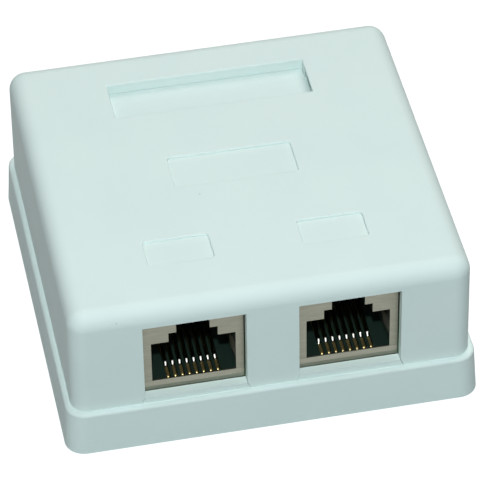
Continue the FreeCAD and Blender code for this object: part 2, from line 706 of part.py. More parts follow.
def cut_shallow_recesses(body):
    """Shallow recess in the middle of the roof and one above each port."""
    marks = sketch_on(body, "shallow_recesses", "XY_Plane", COVER_TOP)
    centred(marks, "0", "-dims.mark_place", "dims.mark_width", "dims.mark_depth")
    icon_y = f"(-{COVER_Y} + dims.icon_setback)"
    for side in SIDES.values():
        centred(marks, port_x(side), icon_y, "dims.icon_width", "dims.icon_depth")
    pocket(body, marks, "dims.recess_sink")
    middle = number(f"{COVER_TOP} - dims.recess_sink / 2")
    dress(
        body,
        "Fillet",
        "recess_corners",
        "dims.recess_corner",
        lambda p, d, e: upright(d) and near(p.z, middle),
    )
    top = number(COVER_TOP)
    inner_x = number(f"{COVER_X} - dims.cover_round") - 0.5
    inner_y = number(f"{COVER_Y} - dims.cover_round") - 0.5
    dress(
        body,
        "Fillet",
        "recess_rims",
        "dims.recess_round",
        lambda p, d, e: near(p.z, top) and abs(p.x) < inner_x and abs(p.y) < inner_y,
    )


def score_breakout(body):
    """Score line inside the rear wall round a panel that can be broken out."""
    score = sketch_on(body, "breakout", "XZ_Plane", f"-{INSIDE_Y}")
    half = "(dims.breakout_width / 2)"
    inner = f"({half} - dims.breakout_score)"
    crest = "(dims.base_height + dims.breakout_height)"
    under = f"({crest} - dims.breakout_score)"
    foot = "dims.base_height - dims.breakout_score"
    outline(score, [
        (f"-{half}", foot),
        (f"-{inner}", foot),
        (f"-{inner}", under),
        (inner, under),
        (inner, foot),
        (half, foot),
        (half, crest),
        (f"-{half}", crest),
    ])
    pocket(body, score, "dims.cover_wall - dims.breakout_skin")


def make_label_plate():
    """Plate that lies in the label recess and hides the cover screw."""
    body = new_body("label_plate")
    plate = sketch_on(body, "plate", "XY_Plane")
    rectangle(
        plate,
        "-dims.label_width / 2 + dims.label_gap",
        "dims.label_width / 2 - dims.label_gap",
        "-dims.label_depth / 2 + dims.label_gap",
        "dims.label_depth / 2 - dims.label_gap",
    )
    pad(body, plate, "dims.label_thickness")
    place(body, y=LABEL_Y, z=LABEL_FLOOR)
    return body


def make_cover_screw():
    """Pan head screw with a cross recess, its underside at the body's zero."""
    body = new_body("cover_screw")
    profile = sketch_on(body, "profile", "XZ_Plane")
    tip = "dims.screw_radius / 2"
    outline(profile, [
        ("0", "-dims.screw_length"),
        (tip, "-dims.screw_length"),
        ("dims.screw_radius", f"-dims.screw_length + {tip}"),
        ("dims.screw_radius", "0"),
        ("dims.screw_head_radius", "0"),
        ("dims.screw_head_radius", "dims.screw_head_height / 2"),
        ("dims.screw_head_radius * 0.6", "dims.screw_head_height"),
        ("0", "dims.screw_head_height"),
    ])
    turn = body.newObject("PartDesign::Revolution", "cover_screw_turn")
    turn.Profile = profile
    turn.ReferenceAxis = (profile, ["V_Axis"])
    turn.Angle = 360.0
    doc.recompute()
    cross = sketch_on(body, "cross", "XY_Plane", "dims.screw_head_height")
    centred(cross, "0", "0", "dims.screw_head_radius", "dims.screw_head_radius / 5")
    pocket(body, cross, "dims.screw_head_height * 0.6")
    across = sketch_on(body, "across", "XY_Plane", "dims.screw_head_height")
    centred(across, "0", "0", "dims.screw_head_radius / 5", "dims.screw_head_radius")
    pocket(body, across, "dims.screw_head_height * 0.6")
    place(body, y=LABEL_Y, z=SEAT)
    return body


def clip_offsets():
    """X and Y of the clips from a terminal block's middle, in number order."""
    offsets = []
    for row in (-1, 1):
        for place_in_row in range(CLIPS_PER_ROW):
            step = place_in_row - (CLIPS_PER_ROW - 1) / 2
            offsets.append((f"{step} * dims.clip_pitch", f"{row} * dims.clip_row"))
    return offsets


def contact_offset(position):
    """X of a contact from its socket's middle."""
    return f"({position - (CONTACTS - 1) / 2} * dims.contact_pitch)"


def tail_y(position):
    """Y of a contact's tail behind the socket's face, in two rows."""
    return f"({TAIL_Y} + {position % 2} * dims.tail_row_gap)"


def make_board():
    """Circuit board with holes for tails, clip legs and shield legs."""
    body = new_body("circuit_board")
    sheet = sketch_on(body, "sheet", "XY_Plane", BOARD_UNDER)
    rectangle(sheet, f"-{BOARD_X}", BOARD_X, BOARD_FRONT, BOARD_REAR)
    pad(body, sheet, "dims.board_thickness")
    dress(body, "Fillet", "corners", "dims.board_corner", lambda p, d, e: upright(d))
    holes = sketch_on(body, "holes", "XY_Plane", BOARD_TOP)
    for side in SIDES.values():
        for position in range(CONTACTS):
            x = f"({port_x(side)} + {contact_offset(position)})"
            y = f"({JACK_FACE} + {tail_y(position)})"
            circle(holes, x, y, "(dims.contact_width / 2 + dims.solder_gap)")
        for dx, dy in clip_offsets():
            x = f"({port_x(side)} + {dx})"
            y = f"({BLOCK_Y} + {dy})"
            circle(holes, x, y, "(dims.clip_leg / 2 + dims.solder_gap)")
        for edge in (-1, 1):
            x = f"({port_x(side)} + {edge} * ({JACK_WIDTH} - dims.shield_sheet) / 2)"
            y = f"({JACK_FACE} + dims.leg_place)"
            wide = "(dims.shield_sheet + 2 * dims.solder_gap)"
            long = "(dims.leg_width + 2 * dims.solder_gap)"
            centred(holes, x, y, wide, long)
    pocket(body, holes, "2 * dims.board_thickness")
    return body


def stepped_opening(sketch):
    """Outline of the plug cavity: main part, step and latch slot."""
    half = "(dims.cavity_width / 2)"
    step = "(dims.step_width / 2)"
    latch = "(dims.latch_width / 2)"
    outline(sketch, [
        (f"-{half}", "dims.cavity_floor"),
        (half, "dims.cavity_floor"),
        (half, CAVITY_TOP),
        (step, CAVITY_TOP),
        (step, STEP_TOP),
        (latch, STEP_TOP),
        (latch, LATCH_TOP),
        (f"-{latch}", LATCH_TOP),
        (f"-{latch}", STEP_TOP),
        (f"-{step}", STEP_TOP),
        (f"-{step}", CAVITY_TOP),
        (f"-{half}", CAVITY_TOP),
    ])


def make_shield(name, side):
    """Sheet metal can round a socket, with side fingers and solder legs."""
    body = new_body(f"jack_shield_{name}")
    half = f"({JACK_WIDTH} / 2)"
    can = sketch_on(body, "can", "XY_Plane")
    rectangle(can, f"-{half}", half, "0", JACK_DEPTH)
    pad(body, can, JACK_HEIGHT)
    top = number(JACK_HEIGHT)
    dress(body, "Fillet", "bends", "dims.shield_bend", lambda p, d, e: upright(d) or near(p.z, top))
    inside = sketch_on(body, "inside", "XY_Plane")
    sheet = "dims.shield_sheet"
    rectangle(inside, f"-{half} + {sheet}", f"{half} - {sheet}", sheet, f"{JACK_DEPTH} - {sheet}")
    pocket(body, inside, f"{JACK_HEIGHT} - {sheet}", along_normal=True)
    mouth = sketch_on(body, "mouth", "XZ_Plane", sheet)
    stepped_opening(mouth)
    pocket(body, mouth, "2.5 * dims.shield_sheet")
    add_fingers(body)
    legs = sketch_on(body, "legs", "XY_Plane", f"-dims.board_thickness - dims.solder_reach")
    for edge in (-1, 1):
        x = f"({edge} * ({JACK_WIDTH} - {sheet}) / 2)"
        centred(legs, x, "dims.leg_place", sheet, "dims.leg_width")
    pad(body, legs, "dims.board_thickness + dims.solder_reach + dims.cavity_floor")
    place(body, port_x(side), JACK_FACE, BOARD_TOP)
    return body


def add_fingers(body):
    """Side spring fingers, folded in at the mouth to touch the plug."""
    fingers = sketch_on(body, "fingers", "XY_Plane", "dims.cavity_floor + dims.finger_rise")
    sheet = "dims.shield_sheet"
    for edge in (-1, 1):
        wall = "dims.cavity_width / 2"
        crown = "dims.finger_length * 0.4"
        outline(fingers, [
            (f"{edge} * ({wall} + {sheet})", "0"),
            (f"{edge} * {wall}", "0"),
            (f"{edge} * ({wall} - dims.finger_bulge)", crown),
            (f"{edge} * ({wall} - dims.finger_bulge)", f"{crown} + {sheet}"),
            (f"{edge} * {wall}", "dims.finger_length"),
            (f"{edge} * ({wall} + {sheet})", "dims.finger_length"),
            (f"{edge} * ({wall} - dims.finger_bulge + {sheet})", f"{crown} + {sheet} / 2"),
        ])
    pad(body, fingers, "dims.finger_height")


def make_housing(name, side):
    """Moulded socket body with the plug cavity and the contact grooves."""
    body = new_body(f"jack_housing_{name}")
    half = f"({JACK_WIDTH} / 2 - {SHELL})"
    block = sketch_on(body, "block", "XY_Plane")
    rectangle(block, f"-{half}", half, SHELL, f"{JACK_DEPTH} - {SHELL}")
    pad(body, block, f"{JACK_HEIGHT} - {SHELL}")
    cavity = sketch_on(body, "cavity", "XZ_Plane")
    stepped_opening(cavity)
    pocket(body, cavity, "dims.cavity_depth")
    relief = sketch_on(body, "finger_relief", "XY_Plane", "dims.cavity_floor + dims.finger_rise - dims.contact_gap")
    outer = "(dims.cavity_width / 2 + 2.5 * dims.shield_sheet)"
    rectangle(relief, f"-{outer}", outer, "0", "dims.finger_length + 2 * dims.shield_sheet")
    pocket(body, relief, "dims.finger_height + 2 * dims.contact_gap", along_normal=True)
    grooves = sketch_on(body, "grooves", "XY_Plane", "dims.cavity_floor")
    exits = sketch_on(body, "exits", "XY_Plane", "dims.cavity_floor")
    groove = "(dims.contact_width + 2 * dims.contact_gap)"
    rear = f"({TAIL_Y} + dims.tail_row_gap + dims.contact_sheet)"
    for position in range(CONTACTS):
        x = contact_offset(position)
        left = f"{x} - {groove} / 2"
        right = f"{x} + {groove} / 2"
        rectangle(grooves, left, right, "0", rear)
        rectangle(exits, left, right, "dims.cavity_depth", rear)
    pocket(body, grooves, "dims.cavity_floor - dims.contact_run + dims.contact_sheet / 2 + dims.contact_gap")
    pocket(body, exits, "2 * dims.cavity_floor")
    rear_seat = sketch_on(body, "carrier_seat", "XZ_Plane", f"-{JACK_DEPTH} + {SHELL}")
    seat_half = carrier_half()
    rectangle(
        rear_seat,
        f"-{seat_half} - dims.contact_gap",
        f"{seat_half} + dims.contact_gap",
        "dims.cavity_floor",
        "dims.cavity_floor + dims.carrier_height + dims.contact_gap",
    )
    pocket(body, rear_seat, f"dims.jack_rear - {SHELL} + dims.contact_gap", along_normal=True)
    place(body, port_x(side), JACK_FACE, BOARD_TOP)
    return body


def carrier_half():
    """Half width of the contact carrier: the contacts and a side wall."""
    return f"({CONTACTS} * dims.contact_pitch / 2 + dims.contact_pitch)"


def make_carrier(name, side):
    """Insert behind the cavity, with a comb that guides the contacts' ends."""
    body = new_body(f"contact_carrier_{name}")
    half = carrier_half()
    block = sketch_on(body, "block", "XY_Plane", "dims.cavity_floor")
    rectangle(block, f"-{half}", half, "dims.cavity_depth", f"{JACK_DEPTH} - {SHELL}")
    pad(body, block, "dims.carrier_height")
    comb = sketch_on(body, "comb", "XY_Plane", "dims.cavity_floor")
    rectangle(comb, f"-{half}", half, "dims.cavity_depth - dims.comb_length", "dims.cavity_depth")
    pad(body, comb, "dims.comb_height")
    slots = sketch_on(body, "slots", "XY_Plane", "dims.cavity_floor + dims.comb_height")
    groove = "(dims.contact_width + 2 * dims.contact_gap)"
    for position in range(CONTACTS):
        x = contact_offset(position)
        low = "dims.cavity_depth - 2 * dims.comb_length"
        rectangle(slots, f"{x} - {groove} / 2", f"{x} + {groove} / 2", low, "dims.cavity_depth")
    pocket(body, slots, "2 * dims.comb_height")
    place(body, port_x(side), JACK_FACE, BOARD_TOP)
    return body


def rounded_path(sketch, corners, radii):
    """Open path through corners, each inner corner rounded by its radius."""
    places = [FreeCAD.Vector(number(x), number(y), 0) for x, y in corners]
    marks = []
    for (x, y), spot in zip(corners, places):
        mark = sketch.addGeometry(Part.Point(spot), True)
        pin(sketch, "DistanceX", mark, 1, x)
        pin(sketch, "DistanceY", mark, 1, y)
        marks.append(mark)
    starts = [places[0]]
    ends = []
    rounds = []
    for index, radius in enumerate(radii, start=1):
        back = (places[index - 1] - places[index]).normalize()
        ahead = (places[index + 1] - places[index]).normalize()
        half = back.getAngle(ahead) / 2
        reach = number(radius) / math.tan(half)
        centre = places[index] + (back + ahead).normalize() * (number(radius) / math.sin(half))
        ends.append(places[index] + back * reach)
        starts.append(places[index] + ahead * reach)
        middle = centre + (places[index] - centre).normalize() * number(radius)
        rounds.append(Part.Arc(ends[-1], middle, starts[-1]))
    ends.append(places[-1])
    lines = [sketch.addGeometry(Part.LineSegment(start, end)) for start, end in zip(starts, ends)]
    for first, second, mark in zip(lines, lines[1:], marks[1:]):
        sketch.addConstraint(Sketcher.Constraint("PointOnObject", mark, 1, first))
        sketch.addConstraint(Sketcher.Constraint("PointOnObject", mark, 1, second))
    for index, (arc, radius) in enumerate(zip(rounds, radii)):
        bend = sketch.addGeometry(arc)
        entry, leave = (1, 2) if sketch.getPoint(bend, 1).isEqual(ends[index], 1e-6) else (2, 1)
        before = Sketcher.Constraint("Tangent", lines[index], 2, bend, entry)
        after = Sketcher.Constraint("Tangent", bend, leave, lines[index + 1], 1)
        sketch.addConstraint([before, after])
        size = sketch.addConstraint(Sketcher.Constraint("Radius", bend, number(radius)))
        sketch.setExpression(f"Constraints[{size}]", radius)
    for line, end, mark in ((lines[0], 1, marks[0]), (lines[-1], 2, marks[-1])):
        sketch.addConstraint(Sketcher.Constraint("Coincident", line, end, mark, 1))


def contact_path(body, position):
    """Centre line of a contact: tail, lower run, nose, kick and sprung end."""
    path = sketch_on(body, "path", "YZ_Plane")
    tail = tail_y(position)
    knee = ("dims.contact_knee_back", "dims.contact_knee_rise")
    corners = [
        (tail, "-dims.board_thickness - dims.solder_reach"),
        (tail, "dims.contact_run"),
        ("dims.contact_front", "dims.contact_run"),
        ("dims.contact_front", "dims.contact_nose_rise"),
        knee,
        (f"{knee[0]} + dims.contact_kick_run", f"{knee[1]} + dims.contact_kick_rise"),
        ("dims.contact_tip_back", "dims.contact_tip_rise"),
    ]
    bends = ["tail_bend", "contact_bend", "contact_bend", "contact_knee", "contact_knee"]
    rounded_path(path, corners, [f"dims.{bend}" for bend in bends])
    return path


def make_contact(name, side, position):
    """Contact spring formed from flat strip."""
    body = new_body(f"contact_{name}_{position + 1}")
    path = contact_path(body, position)
    section = sketch_on(body, "section", "XY_Plane", "-dims.board_thickness - dims.solder_reach")
    centred(section, "0", tail_y(position), "dims.contact_width", "dims.contact_sheet")
    strip = body.newObject("PartDesign::AdditivePipe", f"{body.Name}_strip")
    strip.Profile = section
    strip.Spine = path
    doc.recompute()
    place(body, f"{port_x(side)} + {contact_offset(position)}", JACK_FACE, BOARD_TOP)
    return body


def make_terminal_block(name, side):
    """Block with two rows of wire slots and a pocket for each clip."""
    body = new_body(f"terminal_block_{name}")
    block = sketch_on(body, "block", "XY_Plane")
    centred(block, "0", "0", "dims.block_width", "dims.block_depth")
    pad(body, block, "dims.block_height")
    slot_reach = "(dims.block_depth - dims.spine) / 2"
    for row, at in ((-1, "dims.block_depth / 2"), (1, "-dims.spine / 2")):
        slots = sketch_on(body, f"wire_slots_{row + 1}", "XZ_Plane", at)
        for place_in_row in range(CLIPS_PER_ROW):
            x = f"{place_in_row - (CLIPS_PER_ROW - 1) / 2} * dims.clip_pitch"
            outline(slots, [
                (f"{x} - dims.wire_slot / 2", "dims.block_height - dims.wire_slot_depth"),
                (f"{x} + dims.wire_slot / 2", "dims.block_height - dims.wire_slot_depth"),
                (f"{x} + dims.wire_slot / 2", "dims.block_height - dims.wire_mouth_depth"),
                (f"{x} + dims.wire_mouth / 2", "dims.block_height"),
                (f"{x} - dims.wire_mouth / 2", "dims.block_height"),
                (f"{x} - dims.wire_slot / 2", "dims.block_height - dims.wire_mouth_depth"),
            ])
        pocket(body, slots, slot_reach)
    pockets = sketch_on(body, "clip_pockets", "XY_Plane", "dims.block_height")
    passages = sketch_on(body, "leg_passages", "XY_Plane", "dims.clip_foot")
    for dx, dy in clip_offsets():
        wide = "(dims.clip_width + 2 * dims.clip_gap)"
        thick = "(dims.clip_sheet + 2 * dims.clip_gap)"
        leg = "(dims.clip_leg + 2 * dims.clip_gap)"
        centred(pockets, dx, dy, wide, thick)
        centred(passages, dx, dy, leg, thick)
    pocket(body, pockets, "dims.block_height - dims.clip_foot")
    pocket(body, passages, "2 * dims.clip_foot")
    place(body, port_x(side), BLOCK_Y, BOARD_TOP)
    return body


def make_clip(name, side, index, offset):
    """Forked clip that cuts through a wire's insulation, with a solder leg."""
    body = new_body(f"terminal_clip_{name}_{index}")
    fork = sketch_on(body, "fork", "XZ_Plane", "-dims.clip_sheet / 2")
    half = "(dims.clip_width / 2)"
    leg = "(dims.clip_leg / 2)"
    slit = "(dims.clip_slit / 2)"
    top = "(dims.block_height - dims.clip_top_drop)"
    below = "(-dims.board_thickness - dims.solder_reach)"
    outline(fork, [
        (f"-{leg}", below),
        (leg, below),
        (leg, "dims.clip_foot"),
        (half, "dims.clip_foot"),
        (half, top),
        (f"{slit} + dims.clip_width / 6", top),
        (slit, f"{top} - dims.clip_width / 3"),
        (slit, f"{top} - dims.clip_slit_depth"),
        (f"-{slit}", f"{top} - dims.clip_slit_depth"),
        (f"-{slit}", f"{top} - dims.clip_width / 3"),
        (f"-{slit} - dims.clip_width / 6", top),
        (f"-{half}", top),
        (f"-{half}", "dims.clip_foot"),
        (f"-{leg}", "dims.clip_foot"),
    ])
    pad(body, fork, "dims.clip_sheet")
    dx, dy = offset
    place(body, f"{port_x(side)} + {dx}", f"{BLOCK_Y} + {dy}", BOARD_TOP)
    return body


def make_all():
    """Every piece, in the order of assembly."""
    pieces = [make_base(), make_board()]
    for name, side in SIDES.items():
        pieces.append(make_housing(name, side))
        pieces.append(make_carrier(name, side))
        pieces.extend(make_contact(name, side, position) for position in range(CONTACTS))
        pieces.append(make_shield(name, side))
        pieces.append(make_terminal_block(name, side))
        for index, offset in enumerate(clip_offsets(), start=1):
            pieces.append(make_clip(name, side, index, offset))
    pieces += [make_cover(), make_cover_screw(), make_label_plate()]
    return pieces


def check(pieces):
    """Stop if any feature failed or any piece is not one sound solid."""
    doc.recompute()
    for item in doc.Objects:
        if "Invalid" in item.State or "Error" in item.State:
            raise RuntimeError(f"{item.Name} failed: {item.State}")
    for piece in pieces:
        if piece.Shape.isNull() or not piece.Shape.isValid():
            raise RuntimeError(f"{piece.Label} has no valid shape")
        if len(piece.Shape.Solids) != 1:
            raise RuntimeError(f"{piece.Label} has {len(piece.Shape.Solids)} solids")


def export(pieces):
    for piece in pieces:
        piece.Shape.exportStep(f"parts/{piece.Label}.step")
        print(f"{piece.Label}: {piece.Shape.Volume:.2f} mm3, {len(piece.Shape.Faces)} faces")


pieces = make_all()
check(pieces)
export(pieces)
print(f"{len(pieces)} pieces, cover top at {number(COVER_TOP):.2f} mm")
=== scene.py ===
# %% [markdown]
# A two-port surface mount jack box
#
# This lesson dresses a small wall box for network sockets: a shallow white
# base, a cover shell with two windows, and behind each window a shielded
# socket with eight gold contacts. The engineering model gives every piece its
# true size and place. Here each piece gets the finish of the real one, and a
# few pieces get the fine form that the engineering model leaves out.

# %% Load the engineering model and keep its box
import math

import bpy
from mathutils import Matrix, Vector


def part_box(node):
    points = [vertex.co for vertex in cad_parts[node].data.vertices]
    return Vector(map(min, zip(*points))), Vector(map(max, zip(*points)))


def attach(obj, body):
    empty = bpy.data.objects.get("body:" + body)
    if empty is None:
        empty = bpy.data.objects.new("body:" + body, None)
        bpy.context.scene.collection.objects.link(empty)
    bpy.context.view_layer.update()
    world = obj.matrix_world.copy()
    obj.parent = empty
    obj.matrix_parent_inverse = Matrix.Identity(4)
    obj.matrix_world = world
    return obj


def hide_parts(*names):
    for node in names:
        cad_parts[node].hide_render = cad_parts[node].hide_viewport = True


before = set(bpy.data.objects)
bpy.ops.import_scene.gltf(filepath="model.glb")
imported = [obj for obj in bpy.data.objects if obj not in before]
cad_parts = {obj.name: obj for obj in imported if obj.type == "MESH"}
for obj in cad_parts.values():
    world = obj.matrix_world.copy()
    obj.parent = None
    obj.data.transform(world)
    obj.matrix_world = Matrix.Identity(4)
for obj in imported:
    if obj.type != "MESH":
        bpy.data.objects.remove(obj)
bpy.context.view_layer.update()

# %% [markdown]
# Units. Everything is in metres, but a jack box is thought of in millimetres,
# so one named factor turns the one into the other. Sizes that the engineering
# model knows are asked of it, not typed in again.

# %% Units and the roof's height
MM = 0.001
roof_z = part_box("cover")[1][2]
print("the roof lies", round(roof_z / MM, 2), "mm above the wall")

# %% [markdown]
# Blender keeps what a thing is, such as a mesh, a lamp or a camera, apart from
# the object that shows it. One helper makes the object and puts it in the scene.

# %% Put an object in the scene
def put(name, data):
    """New object that shows this data."""
    thing = bpy.data.objects.new(name, data)
    bpy.context.collection.objects.link(thing)
    return thing


print("ready to put objects in", bpy.context.collection.name)

# %% [markdown]
# The camera. The picture was taken from in front, a little to the left and
# well above, with a long lens, so the edges of the box stay nearly parallel.
# A camera could be turned by three angles about fixed axes, but it is easier to
# place like a tripod: aim point, direction, distance, a small roll, and a small
# slide to put the object where it was in the frame.

# %% Camera at the picture's viewing angle
AIM = Vector((0.0, 0.0, 10.0)) * MM
VIEW_AZIMUTH = math.radians(-10.6631)
VIEW_ELEVATION = math.radians(41.6925)
VIEW_ROLL = math.radians(-1.0494)
VIEW_DISTANCE = 509.77 * MM
SLIDE_RIGHT = 0.9057 * MM
SLIDE_UP = -0.4269 * MM
FOCAL_PIXELS = 3463.81
PICTURE_PIXELS = 480
SENSOR_WIDTH = 36.0


def camera_axes(azimuth, elevation, roll):
    """Viewing direction, right and up of a camera."""
    flat = math.cos(elevation)
    view = Vector((math.sin(-azimuth) * flat, math.cos(azimuth) * flat, -math.sin(elevation)))
    level = view.cross(Vector((0, 0, 1))).normalized()
    over = level.cross(view)
    right = math.cos(roll) * level + math.sin(roll) * over
    up = -math.sin(roll) * level + math.cos(roll) * over
    return view, right, up


view, right, up = camera_axes(VIEW_AZIMUTH, VIEW_ELEVATION, VIEW_ROLL)
camera_data = bpy.data.cameras.new("camera")
camera_data.sensor_width = SENSOR_WIDTH
camera_data.lens = FOCAL_PIXELS * SENSOR_WIDTH / PICTURE_PIXELS
camera = put("camera", camera_data)
turn = Matrix((right, up, -view)).transposed()
stand = AIM - view * VIEW_DISTANCE + right * SLIDE_RIGHT + up * SLIDE_UP
camera.matrix_world = Matrix.Translation(stand) @ turn.to_4x4()
bpy.context.scene.camera = camera
print("camera at", [round(value, 3) for value in stand], "lens", round(camera_data.lens, 1), "mm")

# %% [markdown]
# Colours are written as the hex values that a colour picker shows. Blender
# works in linear light, so one function turns hex into linear numbers.

# %% Colour helper
def linear(hex_colour):
    """Linear RGBA of an sRGB hex colour such as '#D9E6E2'."""
    channels = [int(hex_colour[start:start + 2], 16) / 255 for start in (1, 3, 5)]
    return (*[c / 12.92 if c <= 0.04045 else ((c + 0.055) / 1.055) ** 2.4 for c in channels], 1.0)


print("mid grey in linear light", [round(value, 3) for value in linear("#808080")])

# %% [markdown]
# A material is a small network of nodes. Writing each node takes three steps:
# make it, set its values, connect its inputs. One helper does all three. An
# input that is given another node's output is connected, and any other value
# is set on the socket itself.

# %% Node helper
def add(tree, kind, inputs=None, **settings):
    """Add a node with its settings, and set or connect its inputs."""
    node = tree.nodes.new(kind)
    for name, value in settings.items():
        setattr(node, name, value)
    for name, value in (inputs or {}).items():
        if isinstance(value, bpy.types.NodeSocket):
            tree.links.new(value, node.inputs[name])
        else:
            node.inputs[name].default_value = value
    return node


print("ready to build node trees")

# %% [markdown]
# Every finish starts from the Principled shader, and most of them vary a little
# with soft noise, because no real surface is quite even. A picture of a surface
# could do that too, but noise has no edges and its blotches can be given a size
# in millimetres. It reads Object coordinates, so it stays on a piece that moves.

# %% Start of a finish
def new_material(name, **surface):
    """Material with one Principled shader. Underscores in input names are spaces."""
    material = bpy.data.materials.new(name)
    material.use_nodes = True
    tree = material.node_tree
    shader = next(node for node in tree.nodes if node.type == "BSDF_PRINCIPLED")
    for key, value in surface.items():
        shader.inputs[key.replace("_", " ")].default_value = value
    return material, tree, shader


def drive(tree, shader, inputs):
    """Let the outputs of other nodes set inputs of the shader."""
    for name, output in inputs.items():
        tree.links.new(output, shader.inputs[name])


def noise(tree, size, detail=2.0, stretch=(1, 1, 1)):
    """Noise whose blotches are about the given size in metres."""
    coords = add(tree, "ShaderNodeTexCoord")
    scaled = add(tree, "ShaderNodeMapping", {"Vector": coords.outputs["Object"], "Scale": stretch})
    texture = add(
        tree,
        "ShaderNodeTexNoise",
        {"Vector": scaled.outputs["Vector"], "Scale": 1 / size, "Detail": detail},
    )
    return texture.outputs["Fac"]


print("blotches of 1 mm are noise of scale", round(1 / MM))

# %% [markdown]
# Cover and base: ABS, injection moulded. It is a white plastic with a faint
# green-blue cast, matte rather than glossy, because the mould was finely
# blasted. Large soft blotches of one or two percent in the colour keep it
# from looking like paper, and a grain breaks up the reflections. The real
# grain is finer than the render can show, so it is drawn a tenth of a
# millimetre coarse, and softens the highlight as the real one does.

# %% Moulded ABS
ABS_IOR = 1.53
ABS_SPECULAR = 0.22
ABS_SMOOTH = 0.56
ABS_ROUGH = 0.66
ABS_LIGHT = "#DCEAE6"
ABS_SHADE = "#D6E5E3"
BLOTCH = 9 * MM
SHEEN_PATCH = 3 * MM
BLAST_GRAIN = 0.12 * MM
BLAST_DEPTH = 0.004 * MM


def moulded_abs(name, light, shade):
    """ABS from a finely blasted mould, in two close colours."""
    material, tree, shader = new_material(name, IOR=ABS_IOR, Specular_IOR_Level=ABS_SPECULAR)
    colour = add(
        tree,
        "ShaderNodeMix",
        {0: noise(tree, BLOTCH), 6: linear(light), 7: linear(shade)},
        data_type="RGBA",
    )
    roughness = add(
        tree,
        "ShaderNodeMapRange",
        {"Value": noise(tree, SHEEN_PATCH), "To Min": ABS_SMOOTH, "To Max": ABS_ROUGH},
    )
    grain = add(tree, "ShaderNodeBump", {"Height": noise(tree, BLAST_GRAIN), "Distance": BLAST_DEPTH})
    drive(tree, shader, {
        "Base Color": colour.outputs[2],
        "Roughness": roughness.outputs["Result"],
        "Normal": grain.outputs["Normal"],
    })
    return material, tree, shader, colour.outputs[2]


base_abs, *_ = moulded_abs("abs_moulded_base", ABS_LIGHT, ABS_SHADE)
print("made", base_abs.name)

# %% [markdown]
# The cover is the same plastic with two tiny marks of use: a dark speck on the
# rounded front edge and a faint dot on the roof. They have no height, so they
# are no pieces of their own. Each is a spot in the colour, placed by distance
# from a point.

# %% Cover plastic with its two small marks
SPECK_PLACE = Vector((-21.97, -28.2, 22.76)) * MM
SPECK_RADIUS = 0.17 * MM
SPECK_COLOUR = "#7E9090"
DOT_PLACE = Vector((-5.93 * MM, -5.79 * MM, roof_z))
DOT_RADIUS = 0.16 * MM
DOT_COLOUR = "#C3D2D0"
SPOT_SOFTNESS = 0.4


def near_point(tree, point, radius):
    """1 inside a small round spot about a point, 0 outside."""
    coords = add(tree, "ShaderNodeTexCoord")
    gap = add(
        tree, "ShaderNodeVectorMath", {0: coords.outputs["Object"], 1: tuple(point)}, operation="DISTANCE"
    )
    outer, inner = radius * (1 + SPOT_SOFTNESS), radius * (1 - SPOT_SOFTNESS)
    spot = add(
        tree, "ShaderNodeMapRange", {"Value": gap.outputs["Value"], "From Min": outer, "From Max": inner}
    )
    return spot.outputs["Result"]


cover_abs, cover_tree, cover_shader, cover_colour = moulded_abs("abs_moulded_cover", ABS_LIGHT, ABS_SHADE)
for place, radius, hex_colour in (
    (SPECK_PLACE, SPECK_RADIUS, SPECK_COLOUR),
    (DOT_PLACE, DOT_RADIUS, DOT_COLOUR),
):
    marked = add(
        cover_tree,
        "ShaderNodeMix",
        {0: near_point(cover_tree, place, radius), 6: cover_colour, 7: linear(hex_colour)},
        data_type="RGBA",
    )
    cover_colour = marked.outputs[2]
drive(cover_tree, cover_shader, {"Base Color": cover_colour})
print("made", cover_abs.name)

# %% [markdown]
# The label plate is thin ABS from another mould, a touch bluer.

# %% Label plate plastic
LABEL_LIGHT = "#DBE9E6"
LABEL_SHADE = "#D5E4E2"

label_abs, *_ = moulded_abs("abs_moulded_label", LABEL_LIGHT, LABEL_SHADE)
print("made", label_abs.name)

# %% [markdown]
# The sockets' shields: steel strip, tin plated, then stamped and folded. Tin
# is a warm grey, and rolling leaves fine lines along one direction. A metal
# takes its look from what it reflects, so its roughness matters most. The lines
# are noise that is stretched along X, and set the colour and the roughness.

# %% Tin plated steel
TIN_LIGHT = "#97978A"
TIN_DARK = "#807F72"
ROLL_LINE = 0.25 * MM
ROLL_STRETCH = (0.12, 1, 1)


def plated_metal(name, light, dark, line, roughness=None, stretch=(1, 1, 1)):
    """Metal with fine lines in its colour and, where a range is given, in its roughness."""
    material, tree, shader = new_material(name, Metallic=1.0)
    lines = noise(tree, line, detail=3.0, stretch=stretch)
    colour = add(tree, "ShaderNodeMix", {0: lines, 6: linear(light), 7: linear(dark)}, data_type="RGBA")
    drive(tree, shader, {"Base Color": colour.outputs[2]})
    if roughness:
        smooth, rough = roughness
        ranged = add(tree, "ShaderNodeMapRange", {"Value": lines, "To Min": smooth, "To Max": rough})
        drive(tree, shader, {"Roughness": ranged.outputs["Result"]})
    return material, tree, shader, colour.outputs[2]


shield_steel, shield_tree, shield_shader, _ = plated_metal(
    "tin_plated_steel", TIN_LIGHT, TIN_DARK, ROLL_LINE, roughness=(0.34, 0.5), stretch=ROLL_STRETCH
)
print("made", shield_steel.name)

# %% [markdown]
# The band under a shield's plug opening has a crease: above it the sheet leans
# up to the light, below it the sheet is upright again. The lean adds up to less
# than a third of a millimetre on a band a few pixels high, so it is a bump and
# not a new mesh. The bump grows downwards as far as the crease, then stays level.

# %% Crease of the shields' lower band
BAND_HEIGHT = 1.7 * MM
BAND_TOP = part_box("jack_housing_left")[0][2] + BAND_HEIGHT
BAND_CREASE = 0.95 * MM
BAND_LEAN = 0.3


def piece_axes(tree):
    """X, Y and Z of the point that is shaded, each as an output."""
    coords = add(tree, "ShaderNodeTexCoord")
    return add(tree, "ShaderNodeSeparateXYZ", {"Vector": coords.outputs["Object"]}).outputs


